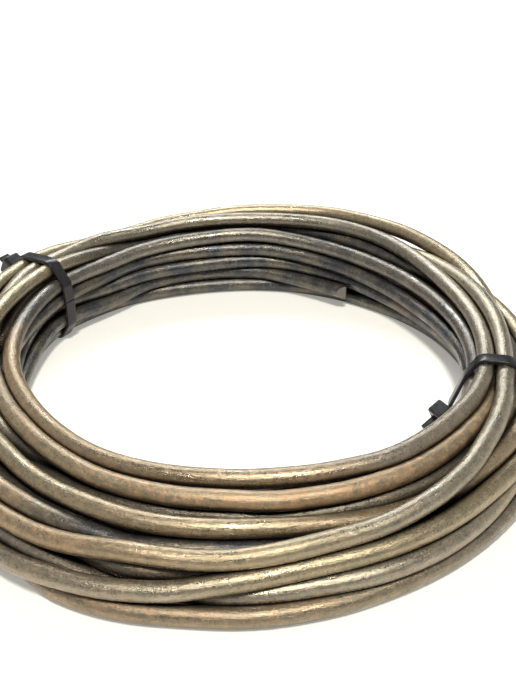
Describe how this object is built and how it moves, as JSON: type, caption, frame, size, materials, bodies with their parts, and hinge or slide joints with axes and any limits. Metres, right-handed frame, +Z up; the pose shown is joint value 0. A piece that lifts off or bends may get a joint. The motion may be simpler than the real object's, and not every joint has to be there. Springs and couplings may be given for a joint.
{
  "type": "coil of black annealed steel wire",
  "caption": "Flat-lying coil of thick black annealed steel wire, loosely layered turns gathered by two black nylon cable ties, ends cropped.",
  "frame": {"origin": "on the coil's axis, on the floor it lies on", "axes": "+Z up along the coil's axis, +X towards the right-hand cable tie, +Y away from the viewer of the picture"},
  "size_m": [0.222, 0.222, 0.0336],
  "materials": {
    "annealed_wire": "black annealed scale, satin, bronze-brown and blue-black with rust-brown mottling",
    "tie_nylon": "black moulded nylon, satin"
  },
  "bodies": {
    "root": {"wire_coil": "annealed_wire", "cable_tie_right": "tie_nylon", "cable_tie_left": "tie_nylon"}
  },
  "joints": []
}
